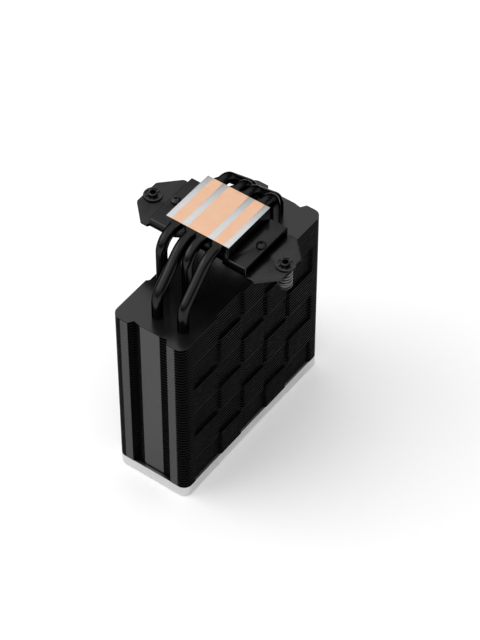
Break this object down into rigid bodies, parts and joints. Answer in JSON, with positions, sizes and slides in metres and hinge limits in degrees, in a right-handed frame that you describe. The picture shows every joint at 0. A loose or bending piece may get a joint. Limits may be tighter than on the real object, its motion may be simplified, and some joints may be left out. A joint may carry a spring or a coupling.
{
  "type": "cpu tower cooler",
  "caption": "Tower heat sink for a processor: black stepped fin stack on bent heat pipes, silver top cover, flat metal base and a crossbar with spring-loaded nuts.",
  "frame": {"origin": "centre of the top cover's resting face, on the tower's axis", "axes": "the cooler stands upside down on its cover: +Z from the cover to the base's contact face, X along the fins' long side, Y along the airflow and the crossbar"},
  "size_m": [0.12, 0.0928, 0.152],
  "materials": {
    "cover_silver": "satin",
    "fin_black": "black coated, satin",
    "pipe_black_nickel": "copper tube, glossy black plating",
    "wick_copper": "sintered copper powder",
    "block_aluminium": "ground contact face, black sides",
    "bar_black": "satin black steel",
    "screw_steel": "dark plated",
    "nut_steel": "plated",
    "washer_black": "black",
    "clip_black": "black",
    "spring_steel": "bright plated wire"
  },
  "bodies": {
    "cooler": {"top_cover": "cover_silver", "fins_row_1": "fin_black", "fins_row_2": "fin_black", "fins_row_3": "fin_black", "fins_row_4": "fin_black", "fins_row_5": "fin_black", "fins_row_6": "fin_black", "end_plate": "fin_black", "heat_pipe_1": "pipe_black_nickel", "heat_pipe_2": "pipe_black_nickel", "heat_pipe_3": "pipe_black_nickel", "heat_pipe_4": "pipe_black_nickel", "pipe_wick_1": "wick_copper", "pipe_wick_2": "wick_copper", "pipe_wick_3": "wick_copper", "pipe_wick_4": "wick_copper", "base_block": "block_aluminium", "crossbar": "bar_black", "crossbar_screws": "screw_steel", "nut_spring_a": "spring_steel", "nut_spring_b": "spring_steel"},
    "nut_slider_a": {"nut_washer_a": "washer_black"},
    "nut_a": {"spring_nut_a": "nut_steel", "nut_clip_a": "clip_black"},
    "nut_slider_b": {"nut_washer_b": "washer_black"},
    "nut_b": {"spring_nut_b": "nut_steel", "nut_clip_b": "clip_black"}
  },
  "joints": [
    {"name": "nut_press_a", "type": "slide", "parent": "cooler", "child": "nut_slider_a", "axis": [0, 0, 1], "range_m": [0, 0.005], "stiffness_N_per_m": 4700, "springref_m": -0.003, "deforming": ["nut_spring_a"]},
    {"name": "nut_turn_a", "type": "hinge", "parent": "nut_slider_a", "child": "nut_a", "pos_m": [0, -0.0412, 0.1392], "axis": [0, 0, 1], "continuous": true},
    {"name": "nut_press_b", "type": "slide", "parent": "cooler", "child": "nut_slider_b", "axis": [0, 0, 1], "range_m": [0, 0.005], "stiffness_N_per_m": 4700, "springref_m": -0.003, "deforming": ["nut_spring_b"]},
    {"name": "nut_turn_b", "type": "hinge", "parent": "nut_slider_b", "child": "nut_b", "pos_m": [0, 0.0412, 0.1392], "axis": [0, 0, 1], "continuous": true}
  ]
}
